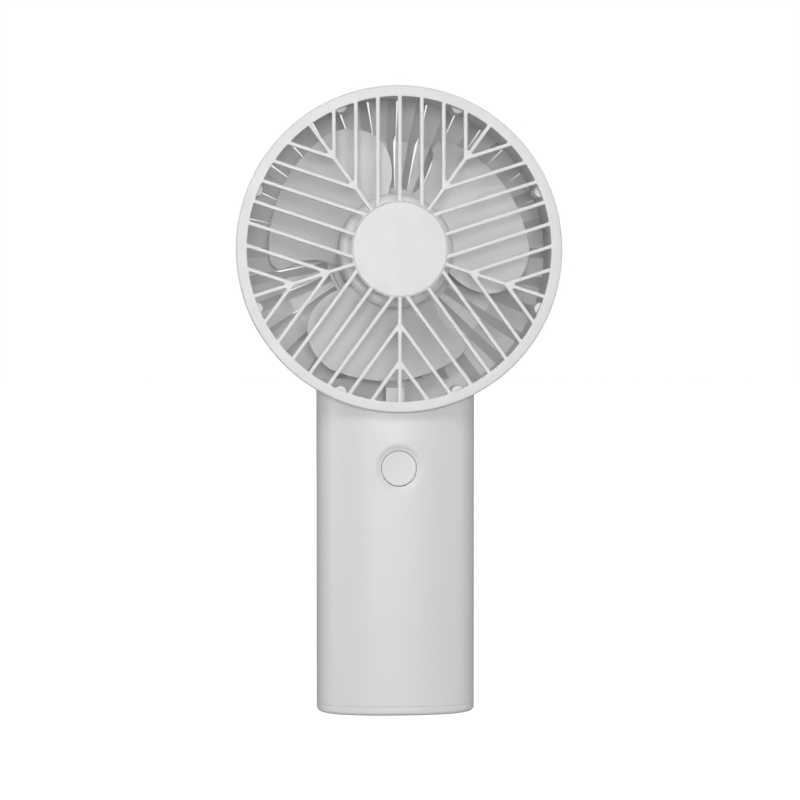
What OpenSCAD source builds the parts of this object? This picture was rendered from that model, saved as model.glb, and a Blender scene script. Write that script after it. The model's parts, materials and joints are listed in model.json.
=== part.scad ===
// Handheld electric fan: a round fan head on an oval battery handle.
// Millimetres, +Z up, the front faces -Y. The origin is the middle of the flat base.

/* [Head] */
// Height of the impeller's axis above the base
axis_z = 120.5; // [120:0.5:122]
// Outer radius of the front grille's rim
rim_r = 42; // [41.8:0.1:42.6]
// Inner radius of the front grille's rim
rim_in = 39.2; // [38.9:0.1:39.3]
// Front face of the grille, ahead of the handle's middle plane
face_z = 16.3; // [16.2:0.1:16.8]
// Distance between two parallel grille bars
bar_step = 5.65; // [5.5:0.05:5.8]
// Width of a grille bar
bar_w = 0.95; // [0.9:0.05:1.2]
// Radius of the round cap in the middle of the grille
cap_r = 12.15; // [12:0.05:12.4]
// Number of vanes in the rear wall
vane_count = 32; // [28:1:34]
// Slant of the slots between the vanes, in degrees
slot_slant = 31; // [24:1:32]

/* [Impeller] */
// Number of blades
blade_count = 3; // [2:1:3]
// Radius of the hub
hub_r = 15; // [14.8:0.1:15.2]
// Radius of a blade at its leading tip
lead_tip_r = 32.8; // [32:0.1:33.5]
// Radius of a blade at its trailing tip
trail_tip_r = 35.4; // [35:0.1:36.2]
// How far a blade climbs from its leading to its trailing edge
blade_rise = 11; // [9:0.5:11.5]

/* [Handle] */
// Width of the handle
handle_w = 41.4; // [41.4:0.1:42]
// Thickness of the handle, front to back
handle_t = 27.2; // [27.2:0.1:27.6]
// Wall of the handle's shells
wall = 1.7; // [1.6:0.05:1.7]

/* [Button] */
// Height of the button's middle above the base
button_z = 64; // [62:0.5:66]
// Radius of the button's face
button_r = 4.42; // [4.2:0.02:4.45]
// Travel of the button
button_travel = 0.3; // [0.2:0.05:0.3]

/* [Hidden] */
$fn = 64;
eps = 0.01;
gap = 0.15;            // clearance between parts that don't press together

// Colours, named by material
white_plastic = [0.89, 0.89, 0.89];
frost_plastic = [0.84, 0.84, 0.84];
steel = [0.66, 0.67, 0.69];
dark_steel = [0.30, 0.31, 0.33];
copper = [0.78, 0.42, 0.22];
brass = [0.80, 0.66, 0.34];
board_green = [0.10, 0.36, 0.22];
black_part = [0.09, 0.09, 0.10];
ivory_part = [0.86, 0.83, 0.74];

// Head, in its own frame: x right, y up, z towards the front
face_t = 2.5;                       // thickness of the grille's rim
bar_t = 2;                          // depth of a grille bar
rim_back = face_z - face_t;
sectors = 5;                        // the bars run in five fans of parallel bars
sector_a = 360 / sectors;
bars_each_side = 3;
boss_r = cap_r + 0.35;
boss_back = face_z - 2.8;
cap_t = 0.8;
post_count = 8;
post_orbit = 40;
post_r = 0.9;
socket_r = 1.9;
post_len = 5;
duct_out = 41.4;                    // barrel of the housing
duct_in = 40.4;
cone_r = 30;                        // from here out the rear wall climbs like a cone
cone_rise = 6;
cone_back_r = 32;
cone_back_rise = 5.4;
back_z = -18;
vane_front = -14.5;                 // front face of the vanes
slot_r0 = 17.5;
slot_w0 = 1.6;                      // slot width at the hub and at the barrel
slot_w1 = 2.45;
slot_front = -8.2;                  // the slots cut a little into the barrel, up to here
slot_r1 = 40.7;
shelf_y = -33.5;                    // over the handle, the slots end at this level
hub_mount_r = 16.5;
hub_mount_front = -11.5;
hub_cap_r = 14.1;
hub_cap_t = 1;
duct_w = 5;                         // wire channel over the handle
duct_front = 0.5;
cover_r = 35.7;                     // the raised box stays outside the blades' sweep

// Impeller and motor
hub_front = 4.9;
hub_back = -9.8;
hub_wall = 1.6;
hub_round = 1.5;
can_r = hub_r - hub_wall - 0.05;
can_wall = 0.8;
can_front = hub_front - 1.6;
can_back = -8.5;
shaft_r = 1;
shaft_back = -14.6;
bush_r = 2.5;
tube_r = 3.1;
base_front = -10.3;
base_r = 14;
screw_orbit = 9;
stator_r = 10.9;
core_r = 5.2;
teeth = 9;
tooth_a = 10;                       // angle of the first tooth

// Blade outline, in degrees round the axis and in radius
lead_a = 189;
trail_a = 93;
lead_z = -7.6;
blade_t = 1.3;

// Handle, in the row frame
power = 2.5;                        // exponent of the handle's rounded outline
half_w = handle_w / 2;
half_t = handle_t / 2;
in_w = half_w - wall;
in_t = half_t - wall;
shell_z0 = 2.4;
cap_rim_top = 6;
lug_x = 11.5;
lug_z = 78.3;
lug_bottom = 76.4;
screw_seat = half_t - 2.85;          // seat of the neck screws
post_x = 14.6;
post_y = 4.2;

// Button and switch
dish_r = 6;
dish_depth = 0.45;
hole_r = button_r + 0.12;
board_y = -9.2;                     // front face of the main board
board_t = 0.8;
board_w = 23.6;
board_z0 = 46;
board_z1 = 76;
board_screw_z = [50, 74];
motor_x = -7;                       // middle of the motor's socket

// Battery cells
cell_r = 9.1;
cell_x = 9.25;
cell_y = 0.9;
cell_z0 = 11;
cell_len = 65;

// ---------- shared shapes ----------

// A point list round a superellipse with half sizes a and b
function oval(a, b, n = 96) = [
    for (i = [0:n - 1])
        let (t = 360 * i / n, c = cos(t), s = sin(t))
            [a * sign(c) * pow(abs(c), 2 / power), b * sign(s) * pow(abs(s), 2 / power)]
];

module oval_prism(inset, z0, z1) {
    translate([0, 0, z0]) linear_extrude(z1 - z0)
        polygon(oval(half_w - inset, half_t - inset));
}

// Moves a child from the head's frame to the row frame
module in_head() {
    translate([0, 0, axis_z]) rotate([90, 0, 0]) children();
}

// A cylinder whose axis runs along +Y, from y0 to y1
module bar_y(r, y0, y1) {
    translate([0, y0, 0]) rotate([-90, 0, 0]) cylinder(r = r, h = y1 - y0);
}

// A box given by two opposite corners
module box(lo, hi) {
    translate(lo) cube(hi - lo);
}

module ring(r_out, r_in, z0, z1) {
    translate([0, 0, z0]) difference() {
        cylinder(r = r_out, h = z1 - z0);
        translate([0, 0, -1]) cylinder(r = r_in, h = z1 - z0 + 2);
    }
}

// Unit vector and cross product helpers for the wires
function unit(v) = v / norm(v);
function tangent(p, i) = unit(p[min(i + 1, len(p) - 1)] - p[max(i - 1, 0)]);

// A Catmull-Rom curve through the points, with steps rings a stretch
function knot(p, i) = p[max(0, min(i, len(p) - 1))];
function curve_at(p, i, t) =
    let (a = knot(p, i - 1), b = knot(p, i), c = knot(p, i + 1), d = knot(p, i + 2))
        0.5 * (2 * b + (c - a) * t + (2 * a - 5 * b + 4 * c - d) * t * t
            + (3 * b - a - 3 * c + d) * t * t * t);
function smooth(p, steps) = [
    for (i = [0:len(p) - 2]) for (k = [0:steps - 1]) curve_at(p, i, k / steps),
    p[len(p) - 1]
];

// A round wire swept along the points as one closed solid
module wire(points, r, sides = 8, steps = 3) {
    path = smooth(points, steps);
    rings = len(path);
    function side(i) =
        let (t = tangent(path, i), ref = abs(t[0]) < 0.9 ? [1, 0, 0] : [0, 1, 0]) unit(cross(t, ref));
    function rim(i) =
        let (t = tangent(path, i), u = side(i), v = cross(t, u))
            [for (k = [0:sides - 1])
                path[i] + r * (u * cos(360 * k / sides) + v * sin(360 * k / sides))];
    pts = [for (i = [0:rings - 1]) each rim(i)];
    walls = [for (i = [0:rings - 2]) for (k = [0:sides - 1])
        let (a = i * sides + k, b = i * sides + (k + 1) % sides)
            each [[a, a + sides, b + sides], [a, b + sides, b]]];
    ends = [[for (k = [0:sides - 1]) k], [for (k = [sides - 1:-1:0]) (rings - 1) * sides + k]];
    polyhedron(points = pts, faces = concat(walls, ends));
}

// A pan-head screw along +Z: head above z = 0, threaded body below
module screw(r, len, head_r, head_h) {
    difference() {
        union() {
            translate([0, 0, -len]) cylinder(r = r, h = len + eps);
            cylinder(r = head_r, h = head_h);
        }
        for (a = [0, 90]) rotate(a)
            translate([-head_r * 0.6, -0.2, head_h * 0.45]) cube([head_r * 1.2, 0.4, head_h]);
    }
}

// ---------- front grille ----------

module bar(x, y0) {
    translate([x - bar_w / 2, y0, face_z - bar_t]) cube([bar_w, rim_in + 1 - y0, bar_t]);
}

module grille_bars() {
    spine = sector_a / 2;
    intersection() {
        translate([0, 0, face_z - bar_t]) cylinder(r = rim_in + 0.5, h = bar_t);
        for (k = [0:sectors - 1]) rotate(sector_a * k) {
            bar(0, boss_r - 1);
            for (s = [-1, 1]) {
                bar(s * bar_step, boss_r - 2);
                for (i = [2:bars_each_side]) bar(s * i * bar_step, i * bar_step / tan(spine));
            }
            rotate(spine) bar(0, boss_r - 1);
        }
    }
}

module front_grille() {
    color(white_plastic) in_head() difference() {
        union() {
            translate([0, 0, rim_back]) rotate_extrude() polygon([
                [rim_in, 0], [rim_r - 0.3, 0], [rim_r, 0.3], [rim_r, face_t - 0.4],
                [rim_r - 0.4, face_t], [rim_in, face_t]
            ]);
            grille_bars();
            translate([0, 0, boss_back]) cylinder(r = boss_r, h = face_z - boss_back);
            for (k = [0:post_count - 1]) rotate(22.5 + 45 * k)
                translate([post_orbit, 0, rim_back - post_len]) cylinder(r = post_r, h = post_len + 1);
        }
        translate([0, 0, face_z - cap_t]) cylinder(r = cap_r + 0.05, h = 2);
        translate([0, 0, boss_back - 1]) cylinder(r = 2, h = 5);
    }
}

module grille_cap() {
    color(white_plastic) in_head() {
        translate([0, 0, face_z - cap_t]) cylinder(r = cap_r, h = cap_t);
        translate([0, 0, boss_back]) cylinder(r = 1.95, h = face_z - cap_t - boss_back + eps);
    }
}

// ---------- housing ----------

// Arc points from angle a0 to a1 about a centre
function arc(c, r, a0, a1, n = 8) = [
    for (i = [0:n]) let (a = a0 + (a1 - a0) * i / n) c + r * [cos(a), sin(a)]
];

module bowl() {
    rotate_extrude() polygon([
        [duct_in, rim_back], [duct_out, rim_back], [duct_out, back_z + cone_back_rise],
        [cone_back_r, back_z], [0, back_z],
        [0, vane_front], [cone_r, vane_front], [duct_in, vane_front + cone_rise]
    ]);
}

// The space inside the bowl, smaller by a margin
module bowl_inside(margin) {
    rotate_extrude() polygon([
        [0, vane_front + margin], [cone_r, vane_front + margin],
        [duct_in - margin, vane_front + cone_rise + margin], [duct_in - margin, 10], [0, 10]
    ]);
}

// Width of a slot at distance x from the axis
function slot_width(x) = slot_w0 + (slot_w1 - slot_w0) * (x - slot_r0) / (duct_out - slot_r0);

// One slanted prism from x0 to x1, measured along the wall from the distance r0
module slot_part(r0, x0, x1, k) {
    rotate([-slot_slant, 0, 0]) translate([0, 0, -7]) linear_extrude(9) polygon([
        [x0, -slot_width(r0 + k * x0) / 2], [x1, -slot_width(r0 + k * x1) / 2],
        [x1, slot_width(r0 + k * x1) / 2], [x0, slot_width(r0 + k * x0) / 2]
    ]);
}

// One slanted slot along +X, wider outwards, bent where the wall turns into the cone
module slot() {
    tilt = atan(cone_rise / (duct_in - cone_r));
    translate([0, 0, vane_front]) slot_part(0, slot_r0, cone_r + 0.6, 1);
    translate([cone_r, 0, vane_front]) rotate([0, -tilt, 0]) slot_part(cone_r, 0.2, 14, cos(tilt));
}

module slots() {
    difference() {
        intersection() {
            for (k = [0:vane_count - 1]) rotate(k * 360 / vane_count) slot();
            translate([0, 0, back_z - 1]) cylinder(r = slot_r1, h = slot_front - back_z + 1);
        }
        translate([-half_w, -60, -40]) cube([2 * half_w, 60 + shelf_y, 80]);
        translate([-duct_w / 2 - 1, -60, -40]) cube([duct_w + 2, 60, 80]);
    }
}

// The collar that stands in the top of the handle, and its two screw lugs
module neck() {
    difference() {
        union() {
            difference() {
                oval_prism(wall + gap, lug_bottom, 90);
                oval_prism(wall + gap + 1.3, lug_bottom - 1, 91);
                box([-11, -20, lug_bottom - 1], [11, -7, lug_bottom + 2.2]);
            }
            for (s = [-1, 1]) intersection() {
                oval_prism(wall + gap, lug_bottom, 90);
                box([s * lug_x - 2.4, -2, lug_bottom], [s * lug_x + 2.4, half_t, 90]);
            }
        }
        in_head() translate([0, 0, -30]) cylinder(r = duct_out - 0.6, h = 60);
        for (s = [-1, 1]) translate([s * lug_x, 0, lug_z]) bar_y(0.8, -3, 20);
    }
}

module fan_housing() {
    color(white_plastic) in_head() difference() {
        union() {
            difference() {
                bowl();
                slots();
            }
            translate([0, 0, back_z]) cylinder(r = hub_mount_r, h = hub_mount_front - back_z);
            for (k = [0:post_count - 1]) rotate(22.5 + 45 * k) intersection() {
                translate([post_orbit, 0, rim_back - 8]) cylinder(r = socket_r, h = 8);
                translate([0, 0, rim_back - 9]) cylinder(r = duct_out, h = 10);
            }
            rotate([-90, 0, 0]) translate([0, 0, -axis_z]) neck();
            // walls of the wire channel, from the hub down to the barrel
            for (s = [-1, 1]) intersection() {
                box([s * (duct_w / 2 + 0.45) - 0.45, -duct_out + 0.9, vane_front - 1],
                    [s * (duct_w / 2 + 0.45) + 0.45, -hub_mount_r + 1, -11.2]);
                rotate_extrude() polygon([
                    [0, back_z + 0.3], [cone_back_r, back_z + 0.3],
                    [duct_in + 0.3, back_z + cone_back_rise], [duct_in + 0.3, 10], [0, 10]
                ]);
            }
        }
        // sockets for the grille's posts
        for (k = [0:post_count - 1]) rotate(22.5 + 45 * k)
            translate([post_orbit, 0, rim_back - post_len - 0.3]) cylinder(r = post_r + 0.03, h = 9);
        // recess for the rear cap, screw pockets and the shaft's end
        translate([0, 0, back_z - 1]) cylinder(r = hub_cap_r + 0.1, h = 1 + hub_cap_t);
        translate([0, 0, back_z]) cylinder(r = 4.2, h = 20);
        for (a = [90, 210, 330]) rotate(a) translate([screw_orbit, 0, 0]) {
            translate([0, 0, back_z]) cylinder(r = 2, h = 3.2);
            translate([0, 0, back_z]) cylinder(r = 1.1, h = 20);
        }
        // seat of the motor's base, and the way for its wires
        box([-duct_w / 2 + 0.4, -hub_mount_r - 1, vane_front + 0.2],
            [duct_w / 2 - 0.4, -6, hub_mount_front + 1]);
        box([-duct_w / 2 + 0.4, -38.5, -13.3], [duct_w / 2 - 0.4, -29.5, -9]);
        // hole where the wires go down into the handle
        translate([-duct_w / 2 + 0.4, -45, -11]) cube([duct_w - 0.8, 8, 5]);
    }
}

// Cover of the wire channel, with the raised box over the handle
module wire_cover() {
    w = duct_w / 2 + 0.9;
    color(white_plastic) in_head() intersection() {
        bowl_inside(0.1);
        difference() {
            union() {
                box([-w, -45, -11.2], [w, -hub_mount_r - 0.1, -10.2]);
                box([-duct_w / 2, -45, -10.2], [duct_w / 2, -cover_r, duct_front]);
            }
            box([-duct_w / 2 + 0.8, -46, -12], [duct_w / 2 - 0.8, -cover_r - 0.7, duct_front - 0.8]);
        }
    }
}

module rear_hub_cap() {
    color(white_plastic) in_head() translate([0, 0, back_z])
        cylinder(r = hub_cap_r, h = hub_cap_t);
}

// ---------- impeller ----------

// Angle of the trailing and leading edges at radius r
function trail_at(r) = r > 21
    ? trail_a + 30.5 * (1 - sqrt(max(0, 1 - pow((r - 21) / (trail_tip_r - 21), 2))))
    : trail_a + 0.139 * pow(21 - r, 2);
function lead_at(r) = r > 29.3
    ? lead_a - 7 * (1 - sqrt(max(0, 1 - pow((r - 29.3) / (lead_tip_r - 29.3), 2))))
    : lead_a - 3.5 + (r < 22.3 ? 0.148 : 0.0714) * pow(22.3 - r, 2);

// A point of the blade: u runs from the leading to the trailing edge, v from the hub to the tip
function blade_point(u, v, side) =
    let (tip = lead_tip_r + (trail_tip_r - lead_tip_r) * u,
         r0 = hub_r - 0.6,
         r = r0 + v * (tip - r0),
         a = lead_at(min(r, lead_tip_r)) * (1 - u) + trail_at(r) * u,
         s = (lead_a - a) / (lead_a - trail_a),
         t = blade_t * (0.35 + 0.65 * sin(180 * u)) * (1 - 0.35 * v),
         z = lead_z + blade_rise * (s + 0.1 * sin(180 * s)))
        [r * cos(a), r * sin(a), z + side * t / 2];

module blade() {
    nu = 14;
    nv = 9;
    row = nv + 1;
    count = (nu + 1) * row;
    pts = [for (side = [1, -1]) for (i = [0:nu]) for (j = [0:nv])
        blade_point(i / nu, 1 - pow(1 - j / nv, 1.5), side)];
    top = [for (i = [0:nu - 1]) for (j = [0:nv - 1]) let (a = i * row + j)
        each [[a, a + 1, a + row + 1], [a, a + row + 1, a + row]]];
    bottom = [for (f = top) [f[0] + count, f[2] + count, f[1] + count]];
    edge = concat([for (j = [0:nv]) j], [for (i = [1:nu]) i * row + nv],
        [for (j = [nv - 1:-1:0]) nu * row + j], [for (i = [nu - 1:-1:1]) i * row]);
    rim = [for (k = [0:len(edge) - 1]) let (a = edge[k], b = edge[(k + 1) % len(edge)])
        each [[a, a + count, b + count], [a, b + count, b]]];
    polyhedron(points = pts, faces = concat(top, bottom, rim));
}

module impeller() {
    color(frost_plastic) in_head() difference() {
        union() {
            rotate_extrude() polygon(concat(
                [[0, hub_back], [hub_r, hub_back]],
                arc([hub_r - hub_round, hub_front - hub_round], hub_round, 0, 90, 4),
                [[0, hub_front]]
            ));
            for (k = [0:blade_count - 1]) rotate(120 * k) blade();
        }
        translate([0, 0, hub_back - 1]) cylinder(r = hub_r - hub_wall, h = can_front - hub_back + 1);
    }
}

// ---------- motor ----------

module rotor_can() {
    color(steel) in_head() difference() {
        union() {
            translate([0, 0, can_back]) cylinder(r = can_r, h = can_front - can_back);
        }
        translate([0, 0, can_back - 1]) cylinder(r = can_r - can_wall, h = can_front - can_back + 1 - can_wall);
        translate([0, 0, 0]) cylinder(r = shaft_r, h = 9);
        for (k = [0:5]) rotate(60 * k) translate([7.5, 0, 0]) cylinder(r = 1.6, h = 9);
    }
}

module magnet_ring() {
    color(dark_steel) in_head() ring(can_r - can_wall, stator_r + 0.4, can_back + 0.5, 1);
}

module motor_shaft() {
    color(steel) in_head() difference() {
        translate([0, 0, shaft_back]) cylinder(r = shaft_r, h = can_front - shaft_back);
        translate([0, 0, 0]) ring(shaft_r + 1, shaft_r - 0.25, shaft_back + 0.6, shaft_back + 1.1);
    }
}

module shaft_clip() {
    color(steel) in_head() translate([0, 0, shaft_back + 0.65]) difference() {
        cylinder(r = 2.1, h = 0.4);
        translate([0, 0, -1]) cylinder(r = shaft_r - 0.25, h = 3);
        translate([0, -0.55, -1]) cube([4, 1.1, 3]);
    }
}

module motor_base() {
    color(steel) in_head() difference() {
        translate([0, 0, hub_mount_front]) cylinder(r = base_r, h = base_front - hub_mount_front);
        translate([0, 0, -20]) cylinder(r = tube_r, h = 20);
        for (a = [90, 210, 330]) rotate(a) translate([screw_orbit, 0, -20]) cylinder(r = 0.95, h = 20);
        box([-2.1, -15, -13], [2.1, -10.7, -9]);
    }
}

module bearing_tube() {
    color(brass) in_head() ring(tube_r, bush_r, -13, 1);
}

module front_bush() {
    color(brass) in_head() ring(bush_r, shaft_r + 0.03, -2, 1);
}

module rear_bush() {
    color(brass) in_head() ring(bush_r, shaft_r + 0.03, -13, -10);
}

// A star of teeth round a core: each tooth repeats the local outline (x radial, y sideways)
function turned(p, a) = [p[0] * cos(a) - p[1] * sin(a), p[0] * sin(a) + p[1] * cos(a)];
function star(outline) = [
    for (k = [0:teeth - 1]) let (a = tooth_a + 360 * k / teeth)
        each concat([for (p = outline) turned(p, a)], [turned([core_r, 0], a + 180 / teeth)])
];

module stator_slice(outline, z0, z1) {
    difference() {
        translate([0, 0, z0]) linear_extrude(z1 - z0) polygon(star(outline));
        translate([0, 0, z0 - 1]) cylinder(r = tube_r, h = z1 - z0 + 2);
    }
}

module stator_core() {
    color(dark_steel) in_head() stator_slice([
        [core_r, -0.9], [9.8, -0.9], [9.4, -3.1], [10.2, -3.2], [stator_r, 0], [10.2, 3.2],
        [9.4, 3.1], [9.8, 0.9], [core_r, 0.9]
    ], -6, -1);
}

module stator_insulators() {
    color(black_part) in_head() for (z = [-6.5, -1])
        stator_slice([[core_r, -0.9], [9.7, -0.9], [9.7, 0.9], [core_r, 0.9]], z, z + 0.5);
}

module stator_windings() {
    color(copper) in_head() for (k = [0:teeth - 1]) rotate(tooth_a + 360 * k / teeth) difference() {
        box([5.9, -1.75, -7.3], [9.6, 1.75, 0.3]);
        box([5, -0.9, -6.5], [10, 0.9, -0.5]);
    }
}

module motor_board() {
    color(board_green) in_head() difference() {
        ring(11.8, tube_r + 0.1, -9.4, -8.6);
        box([-1.9, -13, -10], [1.9, -9, -8]);
    }
}

module motor_screws() {
    color(steel) in_head() for (a = [90, 210, 330]) rotate(a)
        translate([screw_orbit, 0, back_z + 3.2]) rotate([180, 0, 0]) screw(0.95, 4.4, 1.8, 1.3);
}

// The three motor leads, from the motor's board down into the handle
module motor_wires() {
    color(black_part) for (i = [-1, 0, 1]) wire([
        [i * 1.1, 7.95, axis_z - 8.7], [i * 1.1, 9, axis_z - 10.4], [i * 1.1, 11.6, axis_z - 12.6],
        [i * 1.1, 13, axis_z - 16.5], [i * 1.1, 12.9, axis_z - 25], [i * 1.1, 12.6, axis_z - 33.5],
        [i * 1.1, 12.4, axis_z - 35.8], [i * 1.1, 10.7, axis_z - 37.7], [i * 1.1, 8.4, axis_z - 40.6],
        [i * 1.1, 7, 78.1],
        [i * 1.1, 3, 77.6], [i * 1.1 - 1.5, -3, 77.5], [i * 1.1 + motor_x + 0.6, -8.6, 77.9],
        [i * 1.1 + motor_x, -9.9, 77.3], [i * 1.1 + motor_x, -9.95, 76.45]
    ], 0.45);
}

// ---------- handle ----------

// The round tunnel that the barrel and the grille's rim need
module barrel_tunnel() {
    in_head() {
        translate([0, 0, -40]) cylinder(r = duct_out + 0.1, h = 80);
    }
}

module handle_tube() {
    difference() {
        oval_prism(0, shell_z0, 92);
        oval_prism(wall, 0, 93);
        barrel_tunnel();
    }
}

module handle_front_shell() {
    color(white_plastic) difference() {
        union() {
            intersection() {
                handle_tube();
                box([-40, -40, 0], [40, 0, 100]);
            }
            // bosses that carry the main board
            for (z = board_screw_z) translate([0, 0, z]) bar_y(1.7, -in_t - 0.3, board_y);
        }
        for (z = board_screw_z) translate([0, 0, z]) bar_y(0.6, -in_t, board_y + 1);
        translate([0, 0, button_z]) bar_y(hole_r, -half_t - 1, -in_t + 1);
        translate([0, -half_t - 0.05, button_z]) rotate([-90, 0, 0])
            cylinder(r1 = dish_r, r2 = hole_r - 0.1, h = dish_depth + 0.05);
    }
}

module handle_rear_shell() {
    color(white_plastic) difference() {
        union() {
            intersection() {
                handle_tube();
                box([-40, 0, 0], [40, 40, 100]);
            }
            // posts that take the bottom cap's screws
            for (s = [-1, 1]) intersection() {
                oval_prism(wall - 0.3, cap_rim_top + 0.2, 9.4);
                translate([s * post_x, post_y, cap_rim_top + 0.2]) cylinder(r = 2.2, h = 3.2);
            }
            for (s = [-1, 1]) intersection() {
                oval_prism(wall - 0.3, cap_rim_top + 0.2, 9.4);
                box([s * post_x - 0.8, post_y, cap_rim_top + 0.2], [s * post_x + 0.8, 14, 9.4]);
            }
        }
        for (s = [-1, 1]) translate([s * post_x, post_y, 0]) cylinder(r = 0.8, h = 12);
        for (s = [-1, 1]) translate([s * lug_x, 0, lug_z]) {
            bar_y(1.1, 0, 20);
            bar_y(1.8, screw_seat, 20);
        }
    }
}

module bottom_cap() {
    color(white_plastic) difference() {
        union() {
            oval_prism(0.9, 0, 0.4);
            oval_prism(0.35, 0.4, 1);
            oval_prism(0, 1, shell_z0);
            difference() {
                oval_prism(wall + gap, shell_z0 - eps, cap_rim_top);
                oval_prism(wall + gap + 1.2, shell_z0, cap_rim_top + 1);
            }
            for (s = [-1, 1]) intersection() {
                translate([s * post_x, post_y, 0]) cylinder(r = 2.6, h = cap_rim_top);
                oval_prism(wall + gap, 0, cap_rim_top);
            }
        }
        // mouth for the charging plug
        hull() for (s = [-1, 1]) translate([s * 3, 0, -1]) cylinder(r = 1.75, h = 6);
        for (s = [-1, 1]) translate([s * post_x, post_y, -1]) {
            cylinder(r = 1.1, h = 12);
            cylinder(r = 2.0, h = 3);
        }
    }
}

module cap_screws() {
    color(steel) for (s = [-1, 1]) translate([s * post_x, post_y, 2]) rotate([180, 0, 0])
        screw(0.79, 7, 1.8, 1.2);
}

module neck_screws() {
    color(steel) for (s = [-1, 1]) translate([s * lug_x, screw_seat, lug_z]) rotate([-90, 0, 0])
        screw(0.79, 10, 1.6, 0.8);
}

// ---------- button ----------

module button() {
    face_y = -half_t + dish_depth;
    color(white_plastic) translate([0, 0, button_z]) {
        bar_y(button_r, face_y, -in_t + 0.4);
        bar_y(button_r + 0.9, -in_t + 0.35, -in_t + 0.8);
        bar_y(1.2, -in_t + 0.5, board_y - 1.02);
    }
}

module switch_body() {
    color(steel) translate([0, 0, button_z]) difference() {
        box([-2.2, board_y - 0.7, -2.2], [2.2, board_y, 2.2]);
        bar_y(1.05, board_y - 1, board_y - 0.1);
    }
}

module switch_plunger() {
    color(black_part) translate([0, 0, button_z]) bar_y(1, board_y - 1, board_y - 0.15 - button_travel);
}

// ---------- electronics in the handle ----------

module main_board() {
    color(board_green) difference() {
        box([-board_w / 2, board_y, board_z0], [board_w / 2, board_y + board_t, board_z1]);
        for (z = board_screw_z) translate([0, board_y - 1, z]) rotate([-90, 0, 0]) cylinder(r = 0.75, h = 4);
    }
}

module board_screws() {
    color(steel) for (z = board_screw_z) translate([0, board_y + board_t, z]) rotate([-90, 0, 0])
        screw(0.58, 2, 1.3, 0.7);
}

// A flat chip on the board's front face, with legs on two sides
module chip(x, z, w, h, t, legs) {
    box([x - w / 2, board_y - t, z - h / 2], [x + w / 2, board_y - 0.1, z + h / 2]);
    pitch = h / legs;
    for (s = [-1, 1]) for (i = [0:legs - 1])
        translate([x + s * (w / 2 + 0.2) - 0.3, board_y - 0.35, z - h / 2 + pitch * (i + 0.5) - 0.15])
            cube([0.6, 0.35, 0.3]);
}

module controller_chip() {
    color(black_part) chip(-6.5, 69, 4, 5, 1.2, 4);
}

module charger_chip() {
    color(black_part) chip(6, 57, 4, 5, 1.2, 4);
}

module power_inductor() {
    color(dark_steel) translate([-6, board_y - 1.3, 57]) difference() {
        box([-2, 0, -2], [2, 1.3, 2]);
        for (s = [-1, 1]) translate([s * 2.2, -1, s * 2.2]) rotate([0, 45, 0]) translate([-0.5, 0, -0.5]) cube([1, 4, 1]);
    }
}

module board_capacitors() {
    color(brass) for (p = [[5, 66], [5, 68], [5, 70], [-2.5, 56], [-2.5, 58], [2.4, 60.5]])
        box([p[0] - 0.8, board_y - 0.7, p[1] - 0.4], [p[0] + 0.8, board_y, p[1] + 0.4]);
}

// A small wire socket on the board's front face, its mouth at the top edge
module socket(x, z, w) {
    difference() {
        box([x - w / 2, board_y - 1.5, z - 1.6], [x + w / 2, board_y, z + 1.6]);
        box([x - w / 2 + 0.4, board_y - 1.2, z - 0.8], [x + w / 2 - 0.4, board_y - 0.3, z + 2]);
    }
}

module motor_socket() {
    color(ivory_part) socket(motor_x, board_z1 - 1.6, 5.2);
}

module motor_plug() {
    color(ivory_part) box([motor_x - 2.1, board_y - 1.15, board_z1 - 2.2], [motor_x + 2.1, board_y - 0.35, board_z1 + 0.35]);
}

module battery_socket() {
    color(ivory_part) socket(7.4, board_z1 - 1.6, 4.6);
}

module battery_plug() {
    color(ivory_part) box([5.6, board_y - 1.15, board_z1 - 2.2], [9.2, board_y - 0.35, board_z1 + 0.35]);
}

// ---------- battery ----------

module cell(x) {
    translate([x, cell_y, cell_z0]) {
        cylinder(r = cell_r, h = cell_len - 0.8);
        cylinder(r = 3, h = cell_len);
    }
}

module cell_left() {
    color("royalblue") cell(-cell_x);
}

module cell_right() {
    color("royalblue") cell(cell_x);
}

// A plate with two round seats for the cells, cut off in front of y0
module cradle(z0, z1, floor_t, y0) {
    difference() {
        oval_prism(wall + gap, z0, z1);
        for (s = [-1, 1]) translate([s * cell_x, cell_y, z0 + floor_t]) cylinder(r = cell_r + 0.05, h = z1 - z0 + 2);
        box([-30, -30, z0 - 1], [30, y0, z1 + 1]);
        box([-3.2, -30, z0 - 1], [3.2, -4.5, z1 + 1]);
        box([-3.2, -30, z0 + floor_t], [3.2, cell_y + 2.7, z1 + 1]);
    }
}

module cell_cradle_bottom() {
    color(black_part) cradle(9.6, 14, 1.2, -7.6);
}

module cell_cradle_top() {
    color(black_part) cradle(70, 74, -1, 0.5);
}

module cell_strip_top() {
    color(steel) box([-cell_x - 3, cell_y - 2.5, cell_z0 + cell_len], [cell_x + 3, cell_y + 2.5, cell_z0 + cell_len + 0.15]);
}

module cell_strip_bottom() {
    color(steel) {
        box([-cell_x - 3, cell_y - 2.5, cell_z0 - 0.15], [cell_x + 3, cell_y + 2.5, cell_z0]);
        box([1.2, -5.9, cell_z0 - 0.15], [3.2, cell_y, cell_z0]);
    }
}

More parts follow.
